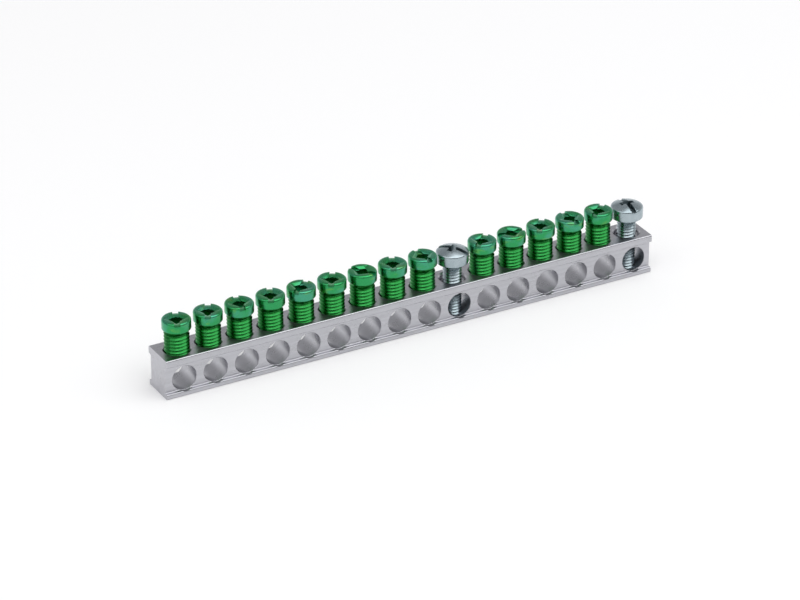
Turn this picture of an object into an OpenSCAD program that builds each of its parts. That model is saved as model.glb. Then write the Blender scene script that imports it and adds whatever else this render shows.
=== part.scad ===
// Earth terminal bar: one extruded aluminium bar with a row of wire holes. A green clamping
// screw stands in each wire position, and two bright screws that fix the bar to its enclosure
// stand in two of them. X runs along the bar, the wires enter along Y, and the bar's
// underside lies on Z = 0.

/* [Bar] */
// Number of wire positions along the bar
positions = 16; // [11:1:24]
// Distance from one position to the next
pitch = 8.4; // [7.8:0.1:12]
// Bar beyond the first position
near_end = 5.2; // [4.4:0.1:12]
// Bar beyond the last position
far_end = 4.6; // [4.4:0.1:12]
// Height of the bar
bar_h = 10.5; // [9.6:0.1:13]
// Width over the two top lips
top_w = 9.7; // [8.6:0.1:12]
// Width of the web between the lips
web_w = 7.5; // [6.8:0.1:8.4]
// How far the foot lips stand in from the top lips
foot_inset = 0.1; // [0:0.05:0.4]
// Height of the top lips
top_lip_h = 2.0; // [1.2:0.1:2.6]
// Height of the foot lips
foot_lip_h = 1.4; // [1.0:0.1:2]
// Radius on the outer corners of the section
edge_r = 0.4; // [0.2:0.05:0.45]
// Fillet between a lip and the web
lip_r = 0.3; // [0.15:0.05:0.5]

/* [Wire holes] */
// Diameter of the wire holes
wire_d = 6.4; // [4.5:0.1:6.6]
// Height of the wire holes' axis over the underside
wire_z = 4.4; // [4.2:0.1:5]
// Depth of the broken edge round a wire hole
wire_break = 0.1; // [0.05:0.05:0.2]

/* [Tapped holes] */
// Radial gap between a terminal screw and its hole
screw_gap = 0.06; // [0.03:0.01:0.09]
// Width that the countersink adds to a hole's radius
sink_w = 0.4; // [0.2:0.05:0.6]

/* [Terminal screws] */
// Diameter over the thread
thread_d = 6.25; // [4.2:0.05:6.3]
// Distance from one thread to the next
thread_pitch = 0.9; // [0.6:0.05:1.3]
// Depth of the thread
thread_deep = 0.48; // [0.3:0.02:0.6]
// Height of the thread above the bar with the screw backed out
screw_out = 5.05; // [3:0.05:9]
// Gap between the backed-out screw's point and the crown of a wire in the hole
point_gap = 0.15; // [0.1:0.05:0.6]
// Radial clearance of a wire in its hole
wire_gap = 0.3; // [0.3:0.05:0.5]
// Height of the chamfered point
point_h = 0.55; // [0.3:0.05:1]
// Diameter of the head
head_d = 7.2; // [6.8:0.1:7.6]
// Height of the head's cylinder
head_h = 2.6; // [2.4:0.1:4]
// Height of the taper under the head
neck_h = 0.7; // [0.3:0.05:1.2]
// Radius round the head's top edge
head_r = 0.55; // [0.3:0.05:0.6]
// Width of the slot
slot_w = 1.4; // [0.8:0.1:1.6]
// Depth of the slot
slot_deep = 0.65; // [0.4:0.05:1.2]
// Square recess, across its flats
square_af = 2.6; // [2.2:0.1:3.2]
// Depth of the square recess
square_deep = 1.9; // [1.4:0.1:2.1]
// Square recess's flared mouth, across its flats
mouth_af = 4.2; // [3.4:0.1:4.4]
// Depth of the flared mouth
mouth_deep = 0.4; // [0.3:0.05:1]

/* [Mounting screws] */
// Position of the first mounting screw, the other one stands in the last position
mount_position = 10; // [2:1:15]
// Diameter over the thread
mount_d = 4.75; // [3.4:0.05:5]
// Distance from one thread to the next
mount_pitch = 0.8; // [0.5:0.05:1]
// Depth of the thread
mount_deep = 0.42; // [0.25:0.01:0.5]
// Radial gap between a mounting screw and its hole through the floor
mount_gap = 0.1; // [0.05:0.01:0.3]
// Height of the bare shank above the bar
mount_out = 4.45; // [1:0.05:8]
// Diameter of the head
mount_head_d = 8.2; // [7.2:0.1:8.6]
// Height of the head's straight side
mount_side_h = 2.9; // [2:0.1:3.6]
// Height of the dome on the head
mount_dome_h = 0.95; // [0.7:0.05:1.8]
// Radius between the head's side and its dome
mount_head_edge = 0.6; // [0.2:0.05:0.8]
// Width of the head's slot
mount_slot_w = 1.2; // [0.8:0.1:1.6]
// Depth of the head's slot below the top of the dome
mount_slot_deep = 1.25; // [1:0.05:2.4]
// Length of the cross recess from tip to tip
cross_len = 4.6; // [3.4:0.1:5]
// Width of the cross recess's wings
cross_w = 1.2; // [0.8:0.05:1.4]
// Depth of the cross recess below the top of the dome
cross_deep = 2.6; // [1.8:0.1:3.2]

/* [Hidden] */
$fn = 72;
// overlap that keeps touching faces from coinciding
eps = 0.01;
// the bar and the things cut in it
bar_l = near_end + (positions - 1) * pitch + far_end;
foot_w = top_w - 2 * foot_inset;
wire_r = wire_d / 2;
tap_r = thread_d / 2 + screw_gap;
// the terminal screws, backed out
thread_r = thread_d / 2;
point_z = wire_z + wire_r - wire_gap + point_gap;
neck_z = bar_h + screw_out;
under_z = neck_z + neck_h;
head_top = under_z + head_h;
head_rad = head_d / 2;
// the mounting screws
mount_r = mount_d / 2;
mount_under = bar_h + mount_out;
mount_top = mount_under + mount_side_h + mount_dome_h;
mount_head_r = mount_head_d / 2;
dome_r = (mount_head_r * mount_head_r + mount_dome_h * mount_dome_h) / (2 * mount_dome_h);
dome_centre_z = mount_top - dome_r;
// the rounding between the head's side and its dome touches both
edge_centre_r = mount_head_r - mount_head_edge;
edge_reach = dome_r - mount_head_edge;
edge_centre_z = dome_centre_z + sqrt(edge_reach * edge_reach - edge_centre_r * edge_centre_r);
dome_end_r = edge_centre_r * dome_r / edge_reach;
mount_at = [mount_position, positions];
terminal_at = [for (i = [1:positions]) if (i != mount_at[0] && i != mount_at[1]) i];
// the way each slot points, as the screws happened to stop
terminal_turn = [68, 63, 78, 66, 41, 59, 122, 65, 92, 43, -1, 54, 91, 41];
mount_turn = [126, 86];

function two_digits(n) = str(n < 10 ? "0" : "", n);
terminal_names = [for (k = [1:len(terminal_at)]) str("terminal_screw_", two_digits(k))];
mount_names = ["mounting_screw_1", "mounting_screw_2"];

// Puts its children on the axis of one wire position.
module at_position(i) {
    translate([near_end - bar_l / 2 + (i - 1) * pitch, 0, 0]) children();
}

// Rectangle with round corners, standing on the X axis.
module round_block(w, h, r) {
    translate([-w / 2 + r, 0]) square([w - 2 * r, h]);
    translate([-w / 2, r]) square([w, h - 2 * r]);
    for (x = [-w / 2 + r, w / 2 - r], y = [r, h - r]) translate([x, y]) circle(r);
}

// Concave corner of radius r that fills the angle right of and above the origin.
module corner_fill(r) {
    difference() {
        translate([-eps, -eps]) square(r + eps);
        translate([r, r]) circle(r);
    }
}

// The extruded section: a web with a lip along each side of its top and of its foot.
module bar_section() {
    translate([-web_w / 2, edge_r]) square([web_w, bar_h - 2 * edge_r]);
    round_block(foot_w, foot_lip_h, edge_r);
    translate([0, bar_h - top_lip_h]) round_block(top_w, top_lip_h, edge_r);
    for (side = [0, 1]) mirror([side, 0]) {
        translate([web_w / 2, foot_lip_h]) corner_fill(lip_r);
        translate([web_w / 2, bar_h - top_lip_h]) mirror([0, 1]) corner_fill(lip_r);
    }
}

// Wire hole across the bar. It grazes the foot lips, and its edges are broken at the web.
module wire_hole() {
    translate([0, 0, wire_z]) rotate([90, 0, 0]) {
        cylinder(r = wire_r, h = 2 * top_w, center = true);
        for (side = [0, 1]) mirror([0, 0, side]) translate([0, 0, web_w / 2 - wire_break])
            cylinder(r1 = wire_r, r2 = wire_r + wire_break + eps, h = wire_break + eps);
    }
}

// Countersunk tapped hole from the top down into the wire hole.
module tapped_hole() {
    translate([0, 0, wire_z]) cylinder(r = tap_r, h = bar_h);
    translate([0, 0, bar_h - sink_w]) cylinder(r1 = tap_r, r2 = tap_r + sink_w + eps, h = sink_w + eps);
}

module bar() {
    color("#b4b5ba") difference() {
        translate([-bar_l / 2, 0, 0]) rotate([90, 0, 90]) linear_extrude(bar_l) bar_section();
        for (i = [1:positions]) at_position(i) {
            wire_hole();
            tapped_hole();
        }
        for (i = mount_at) at_position(i) translate([0, 0, -eps])
            cylinder(r = mount_r + mount_gap, h = wire_z);
    }
}

// Threaded shank from z0, where it has a chamfered point, up to z1, with the thread as rings.
module threaded_shank(r, deep, step, z0, z1, tip_h) {
    turns = ceil((z1 - z0 - tip_h) / step) - 1;
    first = z1 - turns * step;
    rings = [for (k = [0:turns - 1]) each [
        [r, first + k * step],
        [r - deep, first + (k + 1 / 2) * step]
    ]];
    rotate_extrude() polygon(concat(
        [[0, z0], [r - tip_h, z0], [r, z0 + tip_h]],
        rings,
        [[r - deep, z1], [0, z1]]
    ));
}

// Square recess with a flared mouth, its corners along X and Y, below the plane z = 0.
module square_recess() {
    rotate(45) {
        translate([-square_af / 2, -square_af / 2, -square_deep])
            cube([square_af, square_af, square_deep + eps]);
        translate([0, 0, -mouth_deep]) linear_extrude(mouth_deep + eps, scale = mouth_af / square_af)
            square(square_af, center = true);
    }
}

// Green clamping screw: cheese head with a slot and a square recess, tapered into its thread.
module terminal_screw(turn) {
    color("#0f7a37") rotate(turn) difference() {
        union() {
            threaded_shank(thread_r, thread_deep, thread_pitch, point_z, neck_z, point_h);
            rotate_extrude() union() {
                polygon([
                    [0, neck_z - eps], [thread_r - thread_deep, neck_z - eps],
                    [thread_r - thread_deep, neck_z], [head_rad - head_r / 3, under_z],
                    [head_rad, under_z + head_r / 3], [head_rad, head_top - head_r],
                    [head_rad - head_r, head_top], [0, head_top]
                ]);
                intersection() {
                    translate([head_rad - head_r, head_top - head_r]) circle(head_r);
                    translate([0, neck_z]) square([head_d, head_d]);
                }
            }
        }
        translate([-head_d, -slot_w / 2, head_top - slot_deep]) cube([2 * head_d, slot_w, head_d]);
        translate([0, 0, head_top]) square_recess();
    }
}

// Cross recess: two crossed wings that narrow to a point, below the plane z = 0.
module cross_recess() {
    for (a = [0, 90]) rotate(a) rotate([90, 0, 0]) translate([0, 0, -cross_w / 2])
        linear_extrude(cross_w) polygon([
            [-cross_len / 2, eps], [-cross_len / 2, -cross_deep / 2], [-cross_w / 2, -cross_deep],
            [cross_w / 2, -cross_deep], [cross_len / 2, -cross_deep / 2], [cross_len / 2, eps]
        ]);
}

// Pan head: a straight side, a rounded edge and a shallow dome.
module pan_head() {
    rotate_extrude() {
        translate([0, mount_under - eps]) square([mount_head_r, edge_centre_z - mount_under + eps]);
        translate([edge_centre_r, edge_centre_z]) circle(mount_head_edge);
        intersection() {
            translate([0, dome_centre_z]) circle(dome_r);
            translate([0, edge_centre_z - eps]) square([dome_end_r, mount_head_d]);
        }
    }
}

// Bright fixing screw: pan head with a slot and a cross recess, point flush with the foot.
module mounting_screw(turn) {
    color("#a9b2b8") rotate(turn) difference() {
        union() {
            threaded_shank(mount_r, mount_deep, mount_pitch, 0, mount_under, mount_deep);
            pan_head();
        }
        translate([-mount_head_d, -mount_slot_w / 2, mount_top - mount_slot_deep])
            cube([2 * mount_head_d, mount_slot_w, mount_head_d]);
        translate([0, 0, mount_top]) cross_recess();
    }
}

bar();
for (k = [0:len(terminal_at) - 1])
    at_position(terminal_at[k]) terminal_screw(terminal_turn[k % len(terminal_turn)]);
for (k = [0:1])
    at_position(mount_at[k]) mounting_screw(mount_turn[k]);
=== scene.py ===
import math

import bpy
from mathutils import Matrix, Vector


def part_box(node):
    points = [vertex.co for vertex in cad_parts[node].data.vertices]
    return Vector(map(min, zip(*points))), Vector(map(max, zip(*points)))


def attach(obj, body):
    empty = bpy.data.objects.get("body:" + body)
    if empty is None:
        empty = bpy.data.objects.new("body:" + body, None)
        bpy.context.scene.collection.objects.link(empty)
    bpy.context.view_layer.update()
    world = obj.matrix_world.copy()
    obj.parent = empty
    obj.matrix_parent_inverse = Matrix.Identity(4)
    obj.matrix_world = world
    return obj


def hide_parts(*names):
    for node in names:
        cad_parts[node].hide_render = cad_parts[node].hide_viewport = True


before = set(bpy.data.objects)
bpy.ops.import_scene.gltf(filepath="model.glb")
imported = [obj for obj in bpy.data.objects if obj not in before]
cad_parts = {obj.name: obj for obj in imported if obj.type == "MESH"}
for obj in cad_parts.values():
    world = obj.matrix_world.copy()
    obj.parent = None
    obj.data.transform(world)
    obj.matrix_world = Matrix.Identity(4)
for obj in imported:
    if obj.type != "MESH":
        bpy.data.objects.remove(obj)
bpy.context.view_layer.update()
mm = 0.001

# The camera looks along the bar from its first screw, a little from above, with a long lens
# that keeps the bar's edges nearly parallel.
view_turn, view_tilt = math.radians(29.1), math.radians(28.06)
view_distance, view_lens = 1.0204, 187.3
bar_low, bar_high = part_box("bar")
view_centre = Vector(((bar_low[0] + bar_high[0]) / 2 - 1.8 * mm, 0, bar_low[2] + 7.86 * mm))
toward_camera = Vector((
    -math.sin(view_turn) * math.cos(view_tilt),
    -math.cos(view_turn) * math.cos(view_tilt),
    math.sin(view_tilt),
))
lens = bpy.data.cameras.new("camera")
lens.lens = view_lens
lens.clip_start, lens.clip_end = 0.05, 10
camera = bpy.data.objects.new("camera", lens)
camera.location = view_centre + view_distance * toward_camera
camera.rotation_euler = (math.pi / 2 - view_tilt, 0, -view_turn)
bpy.context.collection.objects.link(camera)
bpy.context.scene.camera = camera


# The bar is one length of extruded aluminium, left as it came from the mill and cut off with
# a saw. Fine lines from the die run along it, and the saw left its own across the ends.
class Wire:
    """A socket in a node tree. Arithmetic on it adds Math nodes."""

    def __init__(self, bench, socket):
        self.bench, self.socket = bench, socket

    def math(self, operation, *others):
        return self.bench.add("ShaderNodeMath", {"operation": operation}, {
            place: value for place, value in enumerate((self,) + others)
        })

    def __add__(self, other):
        return self.math("ADD", other)

    def __sub__(self, other):
        return self.math("SUBTRACT", other)

    def __mul__(self, other):
        return self.math("MULTIPLY", other)

    def __truediv__(self, other):
        return self.math("DIVIDE", other)

    def __rsub__(self, other):
        return self.bench.number(other).math("SUBTRACT", self)

    __radd__, __rmul__ = __add__, __mul__

    def ramp(self, low, high):
        """0 at low, 1 at high, and straight between them."""
        return self.bench.add("ShaderNodeMapRange", {"clamp": True}, {
            "Value": self, "From Min": low, "From Max": high,
        })


class Bench:
    """A node tree, filled in one call at a time."""

    def __init__(self, tree):
        self.tree = tree

    def add(self, kind, settings=None, inputs=None, output=0):
        node = self.tree.nodes.new(kind)
        for name, value in (settings or {}).items():
            setattr(node, name, value)
        for place, value in (inputs or {}).items():
            if isinstance(value, Wire):
                self.tree.links.new(value.socket, node.inputs[place])
            else:
                node.inputs[place].default_value = value
        return Wire(self, node.outputs[output])

    def number(self, value):
        return self.add("ShaderNodeMath", {"operation": "ADD"}, {0: value, 1: 0.0})

    def parts(self, vector):
        """The X, Y and Z of a vector."""
        split = self.add("ShaderNodeSeparateXYZ", {}, {0: vector}).socket.node
        return [Wire(self, output) for output in split.outputs]

    def blend(self, factor, first, second):
        """Goes from the first colour to the second as the factor goes from 0 to 1."""
        return self.add("ShaderNodeMix", {"data_type": "RGBA"}, {0: factor, 6: first, 7: second}, 2)

    def noise(self, stretch, detail=2.0, roughness=0.5, turn=(0, 0, 0)):
        """Noise on the piece's own coordinates, with stretch waves to the millimetre."""
        place = self.add("ShaderNodeTexCoord", output=3)
        place = self.add("ShaderNodeMapping", {}, {
            "Vector": place, "Scale": [s / mm for s in stretch], "Rotation": turn,
        })
        return self.add("ShaderNodeTexNoise", {"noise_dimensions": "3D"}, {
            "Vector": place, "Scale": 1.0, "Detail": detail, "Roughness": roughness,
        })


def new_finish(name):
    """An empty material with its shader, ready for a finish."""
    finish = bpy.data.materials.new(name)
    finish.use_nodes = True
    bench = Bench(finish.node_tree)
    shader = finish.node_tree.nodes["Principled BSDF"]

    def coat(**values):
        for place, value in values.items():
            socket = shader.inputs[place.replace("_", " ")]
            if isinstance(value, Wire):
                finish.node_tree.links.new(value.socket, socket)
            else:
                socket.default_value = value

    return finish, bench, coat


mill_finish, bench, coat = new_finish("mill_finish_aluminium")
facing = bench.add("ShaderNodeSeparateXYZ", {}, {
    0: bench.add("ShaderNodeNewGeometry", output=1),
})
across_end = facing.math("ABSOLUTE").ramp(0.7, 0.9)
die_lines = bench.noise((0.012, 5.0, 5.0), 3.0, 0.6)
broad_lines = bench.noise((0.006, 1.1, 1.1), 1.0)
saw_lines = bench.noise((0.5, 4.0, 0.35), 3.0, 0.6)
stains = bench.noise((0.16, 0.3, 0.3), 3.0, 0.6)
grain = bench.noise((5.0, 5.0, 5.0), 2.0, 0.6)
lines = bench.add("ShaderNodeMix", {"data_type": "FLOAT"}, {0: across_end, 2: die_lines, 3: saw_lines})
light_metal, dark_metal = (0.58, 0.58, 0.62, 1), (0.44, 0.44, 0.465, 1)
wear = (lines * 0.5 + stains * 0.5 + broad_lines * 0.4).ramp(0.42, 1.0)
coat(
    Base_Color=bench.blend(wear, dark_metal, light_metal),
    Metallic=1.0,
    Roughness=0.22 + 0.12 * stains.ramp(0.3, 0.7) + 0.06 * lines.ramp(0.3, 0.7),
    Normal=bench.add("ShaderNodeBump", {}, {
        "Height": lines * 0.6 + grain * 0.25, "Strength": 0.35, "Distance": 0.02 * mm,
    }),
)
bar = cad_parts["bar"]
bar.data.materials.clear()
bar.data.materials.append(mill_finish)


# The clamping screws are steel, turned and threaded, plated and dyed green under a clear
# film. Each has a slot and a square recess in its head, and its thread runs into a short neck.
def thread_rows(low, high, radius, deep, step):
    """Rows of a V thread with a narrow crest and root, from one turn below its lower end."""
    crest, flank = 0.06, 0.34
    shape = [(0, 0.9), (crest, 1), (2 * crest, 0.9), (2 * crest + flank, 0.08),
             (3 * crest + flank, 0), (5 * crest + flank, 0), (6 * crest + flank, 0.08)]
    rows = []
    for turn in range(math.ceil((high - low) / step) + 1):
        for part, out in shape:
            rows.append((radius - deep * (1 - out), low + (turn - 1 + part) * step, 1.0))
    return rows


def arc(centre, radius, start, end, steps):
    """Points on an arc of the half section, between two angles in degrees."""
    angles = [math.radians(start + (end - start) * k / steps) for k in range(steps + 1)]
    return [(centre[0] + radius * math.cos(a), centre[1] + radius * math.sin(a), 0.0) for a in angles]


def half_section(name, rows):
    """The half section of a turned piece, as a chain of points from its foot to its top."""
    section = bpy.data.meshes.new(name)
    section.from_pydata([(r, 0, z) for r, z, _ in rows], [(k, k + 1) for k in range(len(rows) - 1)], [])
    flight = section.attributes.new("flight", "FLOAT", "POINT")
    flight.data.foreach_set("value", [row[2] for row in rows])
    return section


class Tree(Bench):
    """A tree of geometry nodes with named inputs for its sizes."""

    def __init__(self, name, sizes):
        super().__init__(bpy.data.node_groups.new(name, "GeometryNodeTree"))
        self.tree.interface.new_socket("Geometry", in_out="INPUT", socket_type="NodeSocketGeometry")
        self.tree.interface.new_socket("Geometry", in_out="OUTPUT", socket_type="NodeSocketGeometry")
        for size in sizes:
            self.tree.interface.new_socket(size, in_out="INPUT", socket_type="NodeSocketFloat")
        self.entry = self.tree.nodes.new("NodeGroupInput")

    def __getitem__(self, name):
        return Wire(self, self.entry.outputs[name])

    def vector(self, x=0.0, y=0.0, z=0.0):
        return self.add("ShaderNodeCombineXYZ", {}, {0: x, 1: y, 2: z})

    def end(self, geometry, finish):
        geometry = self.add("GeometryNodeRealizeInstances", {}, {0: geometry})
        geometry = self.add("GeometryNodeSetMaterial", {}, {0: geometry, "Material": finish})
        self.tree.links.new(geometry.socket, self.tree.nodes.new("NodeGroupOutput").inputs[0])


def turn_on_lathe(tree, segments):
    """Turns the half section that comes in round the Z axis. Rows marked as flight climb by
    one step of the thread in each turn, and stop at the point and at the neck."""
    rows = tree.add("GeometryNodeAttributeDomainSize", {"component": "MESH"}, {0: tree["Geometry"]})
    sheet = tree.add("GeometryNodeMeshGrid", {}, {"Vertices X": rows, "Vertices Y": segments + 1})
    index = tree.add("GeometryNodeInputIndex")
    row = (index / (segments + 1)).math("FLOOR")
    angle = (index - row * (segments + 1)) * (2 * math.pi / segments)
    point = tree.add("GeometryNodeSampleIndex", {"data_type": "FLOAT_VECTOR", "domain": "POINT"}, {
        "Geometry": tree["Geometry"], "Value": tree.add("GeometryNodeInputPosition"), "Index": row,
    })
    flight = tree.add("GeometryNodeSampleIndex", {"data_type": "FLOAT", "domain": "POINT"}, {
        "Geometry": tree["Geometry"], "Index": row,
        "Value": tree.add("GeometryNodeInputNamedAttribute", {"data_type": "FLOAT"}, {"Name": "flight"}),
    })
    radius, _, height = tree.parts(point)
    low, high, root = tree["Point"], tree["Neck"], tree["Root radius"]
    climbed = height + tree["Thread step"] * angle / (2 * math.pi)
    climbed = climbed.math("MAXIMUM", low).math("MINIMUM", high)
    run_out = ((high - climbed) / (tree["Thread step"] / 2)).math("MINIMUM", 1.0)
    cone = tree["Point radius"] + (climbed - low)
    cut = (root + (radius - root) * run_out).math("MINIMUM", cone)
    height = height + (climbed - height) * flight
    radius = radius + (cut - radius) * flight
    sheet = tree.add("GeometryNodeSetPosition", {}, {"Geometry": sheet, "Position": tree.vector(
        radius * angle.math("COSINE"), radius * angle.math("SINE"), height,
    )})
    proud = 1 - flight + flight * (radius - root) / tree["Thread depth"]
    sheet = tree.add("GeometryNodeStoreNamedAttribute", {"data_type": "FLOAT", "domain": "POINT"}, {
        "Geometry": sheet, "Name": "proud", "Value": proud,
    })
    return tree.add("GeometryNodeMergeByDistance", {}, {"Geometry": sheet, "Distance": 0.001 * mm})


def cut_away(tree, solid, *tools):
    """Cuts the tools out of the solid and marks the new edges, which the bevel then breaks."""
    cut = tree.add("GeometryNodeMeshBoolean", {"operation": "DIFFERENCE", "solver": "EXACT"}, {
        "Mesh 1": solid,
    })
    for tool in tools:
        tree.tree.links.new(tool.socket, cut.socket.node.inputs["Mesh 2"])
    return tree.add("GeometryNodeStoreNamedAttribute", {"data_type": "FLOAT", "domain": "EDGE"}, {
        "Geometry": cut, "Name": "bevel_weight_edge", "Value": Wire(tree, cut.socket.node.outputs[1]),
    })


def block(tree, width, depth, height, middle, turn=0.0):
    """A block with its middle at a height on the Z axis, turned about that axis."""
    solid = tree.add("GeometryNodeMeshCube", {}, {"Size": tree.vector(width, depth, height)})
    return tree.add("GeometryNodeTransform", {}, {
        "Geometry": solid, "Translation": tree.vector(0, 0, middle), "Rotation": (0, 0, turn),
    })


def fit_screw(name, body, section, tree, sizes):
    """Runs the tree on a half section, breaks the cut edges and puts the screw on its body."""
    rough = bpy.data.objects.new(name + "_rough", section)
    bpy.context.collection.objects.link(rough)
    lathe = rough.modifiers.new("lathe", "NODES")
    lathe.node_group = tree.tree
    for item in tree.tree.interface.items_tree:
        if item.in_out == "INPUT" and item.name in sizes:
            lathe[item.identifier] = sizes[item.name]
    bevel = rough.modifiers.new("broken_edges", "BEVEL")
    bevel.limit_method, bevel.width, bevel.segments = "WEIGHT", 0.07 * mm, 2
    bevel.use_clamp_overlap = False
    done = bpy.data.meshes.new_from_object(rough.evaluated_get(bpy.context.evaluated_depsgraph_get()))
    bpy.data.objects.remove(rough)
    done.shade_smooth()
    done.set_sharp_from_angle(angle=math.radians(38))
    screw = bpy.data.objects.new(name, done)
    bpy.context.collection.objects.link(screw)
    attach(screw, body)
    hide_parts(name[:-len("_turned")])
    return screw


thread_d, thread_step, thread_deep = 6.25 * mm, 0.9 * mm, 0.48 * mm
point_h, hang = 0.55 * mm, 0.8 * mm  # the point hangs a little way into the wire hole
head_h, neck_h, head_round, under_round = 2.6 * mm, 0.7 * mm, 0.55 * mm, 0.18 * mm
slot_w, slot_deep, square_af, square_deep = 1.4 * mm, 0.65 * mm, 2.6 * mm, 1.9 * mm
mouth_af, mouth_deep = 4.2 * mm, 0.4 * mm
slot_turns = (68, 63, 78, 66, 41, 59, 122, 65, 92, 43, -1, 54, 91, 41)

green_dye, bench, coat = new_finish("green_dyed_plate")
low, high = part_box("terminal_screw_01")
point_z, head_top, head_r = low[2] - hang, high[2], (high[0] - low[0]) / 2
under_z = head_top - head_h
neck_z = under_z - neck_h
proud = bench.add("ShaderNodeAttribute", {"attribute_name": "proud"}, {}, 2)
height = bench.parts(bench.add("ShaderNodeTexCoord", output=3))[2]
tint = bench.noise((0.22, 0.22, 0.3), 2.0, 0.55)
bands = bench.noise((0.3, 0.3, 0.7), 1.0, 0.5, (0.4, 0.3, 0.2))
speck = bench.noise((6.0, 6.0, 6.0), 2.0, 0.6)
leaf, teal, lime = (0.03, 0.32, 0.10, 1), (0.06, 0.34, 0.20, 1), (0.16, 0.40, 0.06, 1)
# Painted shade: the thread roots get a darker green than the crests, so the hollows of the thread look
# shaded and the crests lighter. The whole thread is also darker than the head.
crest, root = (0.02, 0.24, 0.05, 1), (0.012, 0.20, 0.03, 1)
dye = bench.blend(tint.ramp(0.42, 0.62), leaf, teal)
dye = bench.blend(bands.ramp(0.6, 0.7) * 0.4, dye, lime)
# painted shade in the thread roots, mixed in by how far the surface stands proud
thread_painted_shade = bench.blend(proud.ramp(0.1, 0.9), root, crest)
dye = bench.blend(height.ramp(neck_z, under_z), thread_painted_shade, dye)
coat(
    Base_Color=dye,
    Metallic=1.0,
    Roughness=0.2 + 0.12 * speck.ramp(0.35, 0.7),
    Coat_Weight=0.2,
    Coat_Roughness=0.1,
    Normal=bench.add("ShaderNodeBump", {}, {"Height": speck, "Strength": 0.15, "Distance": 0.01 * mm}),
)

screw_tree = Tree("terminal_screw", (
    "Point", "Point radius", "Neck", "Root radius", "Thread step", "Thread depth", "Head top", "Slot width",
    "Slot depth", "Square", "Square depth", "Mouth", "Mouth depth", "Turn", "Place",
))
solid = turn_on_lathe(screw_tree, 72)
top = screw_tree["Head top"]
over, past_rim = 1.0 * mm, 12 * mm  # how far the cutting tools stand over and beyond the head
slot = block(
    screw_tree, past_rim, screw_tree["Slot width"], screw_tree["Slot depth"] + over,
    top - (screw_tree["Slot depth"] - over) / 2,
)
socket_cut = block(
    screw_tree, screw_tree["Square"], screw_tree["Square"], screw_tree["Square depth"] + over,
    top - (screw_tree["Square depth"] - over) / 2, math.pi / 4,
)
flare = (screw_tree["Mouth"] - screw_tree["Square"]) / screw_tree["Mouth depth"]
mouth = screw_tree.add("GeometryNodeMeshCone", {"fill_type": "NGON"}, {
    "Vertices": 4, "Radius Top": (screw_tree["Mouth"] + flare * over) / math.sqrt(2),
    "Radius Bottom": screw_tree["Square"] / math.sqrt(2), "Depth": screw_tree["Mouth depth"] + over,
})
mouth = screw_tree.add("GeometryNodeTransform", {}, {
    "Geometry": mouth, "Translation": screw_tree.vector(0, 0, top - screw_tree["Mouth depth"]),
})
solid = cut_away(screw_tree, solid, slot, socket_cut, mouth)
solid = screw_tree.add("GeometryNodeTransform", {}, {
    "Geometry": solid, "Translation": screw_tree.vector(screw_tree["Place"]),
    "Rotation": screw_tree.vector(0, 0, screw_tree["Turn"]),
})
screw_tree.end(solid, green_dye)

root_r = thread_d / 2 - thread_deep
point_r = thread_d / 2 - point_h - hang / 2
screw_rows = (
    [(0, point_z, 0.0), (point_r, point_z, 0.0)]
    + thread_rows(point_z, neck_z, thread_d / 2, thread_deep, thread_step)
    + [(root_r, neck_z, 0.0)]
    + arc((head_r - under_round, under_z + under_round), under_round, -60, 0, 3)
    + arc((head_r - head_round, head_top - head_round), head_round, 0, 90, 8)
    + [(0, head_top, 0.0)]
)
for k, turn in enumerate(slot_turns):
    node = "terminal_screw_%02d" % (k + 1)
    low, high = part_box(node)
    fit_screw(node + "_turned", node, half_section(node, screw_rows), screw_tree, {
        "Point": point_z, "Point radius": point_r, "Neck": neck_z, "Root radius": root_r,
        "Thread step": thread_step, "Thread depth": thread_deep, "Head top": head_top,
        "Slot width": slot_w, "Slot depth": slot_deep, "Square": square_af, "Square depth": square_deep,
        "Mouth": mouth_af, "Mouth depth": mouth_deep, "Turn": math.radians(turn),
        "Place": (low[0] + high[0]) / 2,
    })


# The two fixing screws are bright zinc-plated steel with pan heads. Each has a slot and a
# cross recess, and goes down through the bar into the wall of the enclosure.
mount_d, mount_step, mount_deep = 4.75 * mm, 0.8 * mm, 0.42 * mm
mount_side_h, mount_dome_h, rim_round, edge_round = 2.9 * mm, 0.95 * mm, 0.3 * mm, 0.6 * mm
mount_slot_w, mount_slot_deep = 1.2 * mm, 1.25 * mm
cross_len, cross_w, cross_deep = 4.6 * mm, 1.2 * mm, 2.6 * mm
wing_taper, taper_from, taper_to = 0.6, 0.5 * mm, 1.5 * mm
mount_turns = (126, 86)

bright_zinc, bench, coat = new_finish("bright_zinc_plate")
proud = bench.add("ShaderNodeAttribute", {"attribute_name": "proud"}, {}, 2)
cloud = bench.noise((0.3, 0.3, 0.3), 3.0, 0.6)
speck = bench.noise((6.0, 6.0, 6.0), 2.0, 0.6)
zinc = bench.blend(cloud.ramp(0.35, 0.65), (0.33, 0.40, 0.43, 1), (0.43, 0.50, 0.53, 1))
# Painted shade: the zinc turns toward a dark grey-teal in the thread roots, by how far the surface stands
# proud.
zinc = bench.blend(0.6 - 0.6 * proud.ramp(0.0, 0.8), zinc, (0.13, 0.17, 0.18, 1))
coat(
    Base_Color=zinc,
    Metallic=1.0,
    Roughness=0.2 + 0.14 * cloud.ramp(0.35, 0.7),
    Normal=bench.add("ShaderNodeBump", {}, {"Height": speck, "Strength": 0.2, "Distance": 0.01 * mm}),
)

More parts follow.
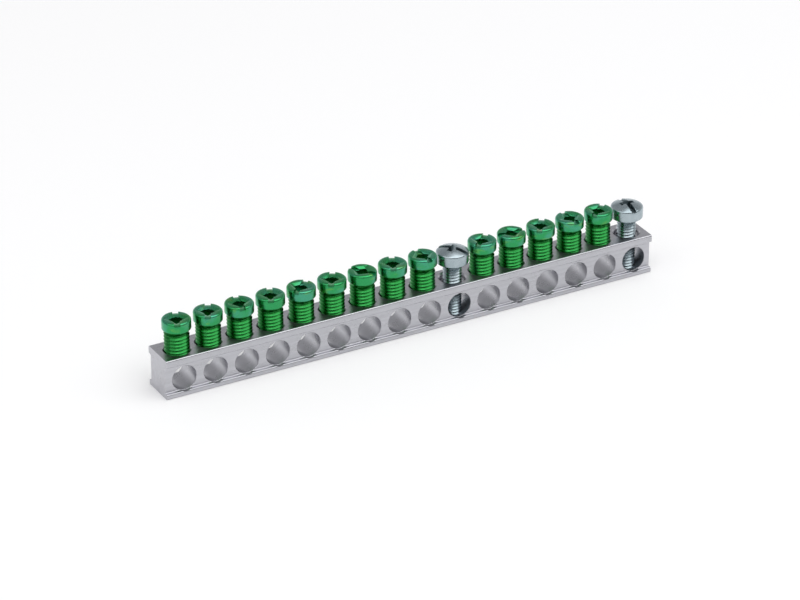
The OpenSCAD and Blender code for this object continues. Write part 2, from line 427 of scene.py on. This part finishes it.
mount_tree = Tree("mounting_screw", (
    "Point", "Point radius", "Neck", "Root radius", "Thread step", "Thread depth", "Head top", "Slot width",
    "Slot depth", "Wing length", "Wing width", "Wing depth", "Turn", "Place",
))
solid = turn_on_lathe(mount_tree, 72)
top = mount_tree["Head top"]
slot = block(
    mount_tree, past_rim, mount_tree["Slot width"], mount_tree["Slot depth"] + over,
    top - (mount_tree["Slot depth"] - over) / 2,
)
wings = []
for quarter in (0, math.pi / 2):
    wing = block(
        mount_tree, mount_tree["Wing length"], mount_tree["Wing width"], mount_tree["Wing depth"] + over,
        top - (mount_tree["Wing depth"] - over) / 2,
    )
    along, _, height = mount_tree.parts(mount_tree.add("GeometryNodeInputPosition"))
    lower = height.ramp(top - taper_from, top - taper_to)
    wing = mount_tree.add("GeometryNodeSetPosition", {}, {
        "Geometry": wing, "Offset": mount_tree.vector(along * lower * -wing_taper),
    })
    wings.append(mount_tree.add("GeometryNodeTransform", {}, {
        "Geometry": wing, "Rotation": (0, 0, quarter),
    }))
solid = cut_away(mount_tree, solid, slot, *wings)
solid = mount_tree.add("GeometryNodeTransform", {}, {
    "Geometry": solid, "Translation": mount_tree.vector(mount_tree["Place"]),
    "Rotation": mount_tree.vector(0, 0, mount_tree["Turn"]),
})
mount_tree.end(solid, bright_zinc)

for k, turn in enumerate(mount_turns):
    node = "mounting_screw_%d" % (k + 1)
    low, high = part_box(node)
    mount_top, mount_head_r = high[2], (high[0] - low[0]) / 2
    mount_under = mount_top - mount_dome_h - mount_side_h
    dome_r = (mount_head_r**2 + mount_dome_h**2) / (2 * mount_dome_h)
    edge_turn = math.acos((mount_head_r - edge_round) / (dome_r - edge_round))
    edge_z = mount_top - dome_r + (dome_r - edge_round) * math.sin(edge_turn)
    mount_root = mount_d / 2 - mount_deep
    rows = (
        [(0, low[2], 0.0), (mount_root, low[2], 0.0)]
        + thread_rows(low[2], mount_under, mount_d / 2, mount_deep, mount_step)
        + [(mount_root, mount_under, 0.0), (mount_head_r - rim_round, mount_under, 0.0)]
        + arc((mount_head_r - rim_round, mount_under + rim_round), rim_round, -60, 0, 3)
        + arc((mount_head_r - edge_round, edge_z), edge_round, 0, math.degrees(edge_turn), 6)
        + arc((0, mount_top - dome_r), dome_r, math.degrees(edge_turn), 90, 10)[1:-1]
        + [(0, mount_top, 0.0)]
    )
    fit_screw(node + "_turned", "bar", half_section(node, rows), mount_tree, {
        "Point": low[2], "Point radius": mount_root, "Neck": mount_under, "Root radius": mount_root,
        "Thread step": mount_step, "Thread depth": mount_deep, "Head top": mount_top,
        "Slot width": mount_slot_w, "Slot depth": mount_slot_deep, "Wing length": cross_len,
        "Wing width": cross_w, "Wing depth": cross_deep, "Turn": math.radians(turn),
        "Place": (low[0] + high[0]) / 2,
    })


# The bar stands on a plain white sheet, in a pale room that is brighter toward the horizon,
# under two large soft lamps.
reach = 3.0
sheet_mesh = bpy.data.meshes.new("sheet")
sheet_mesh.from_pydata(
    [(x, y, bar_low[2]) for x, y in ((-reach, -reach), (reach, -reach), (reach, reach), (-reach, reach))],
    [], [(0, 1, 2, 3)],
)
sheet = bpy.data.objects.new("sheet", sheet_mesh)
bpy.context.collection.objects.link(sheet)
white_sheet, bench, coat = new_finish("white_sheet")
light_path = bench.add("ShaderNodeLightPath").socket.node
seen = Wire(bench, light_path.outputs["Is Camera Ray"])
for ray in ("Is Glossy Ray", "Is Transmission Ray"):
    seen = seen.math("MAXIMUM", Wire(bench, light_path.outputs[ray]))
lift = 0.12
coat(
    Base_Color=(0.9, 0.9, 0.9, 1),
    Roughness=0.9,
    Specular_IOR_Level=0.0,
    Emission_Color=bench.blend(seen, (0, 0, 0, 1), (lift, lift, lift, 1)),
    Emission_Strength=1.0,
)
sheet_mesh.materials.append(white_sheet)


def hang_lamp(name, place, size, power):
    """A square soft lamp, aimed at the middle of the bar."""
    lamp = bpy.data.lights.new(name, "AREA")
    lamp.shape, lamp.size, lamp.energy = "SQUARE", size, power
    hung = bpy.data.objects.new(name, lamp)
    hung.location = place
    hung.rotation_euler = Vector(place).to_track_quat("Z", "Y").to_euler()
    bpy.context.collection.objects.link(hung)


hang_lamp("key", (0.35, -0.45, 1.3), 1.7, 14)
hang_lamp("fill", (-0.9, -0.3, 1.0), 1.4, 5)

room = bpy.data.worlds.new("room")
bpy.context.scene.world = room
room.use_nodes = True
bench = Bench(room.node_tree)
across, away, upward = bench.parts(bench.add("ShaderNodeTexCoord"))
shade = bench.blend(upward.ramp(0.05, 0.5), (0.95, 0.95, 0.96, 1), (0.42, 0.42, 0.43, 1))
behind = (away + 0.56 * across).ramp(-0.5, 0.4)
shade = bench.blend((1 - behind) * (1 - upward.ramp(0.3, 0.8)), shade, (0.20, 0.20, 0.21, 1))
room.node_tree.links.new(shade.socket, room.node_tree.nodes["Background"].inputs["Color"])
bpy.context.scene.view_settings.view_transform = "Standard"
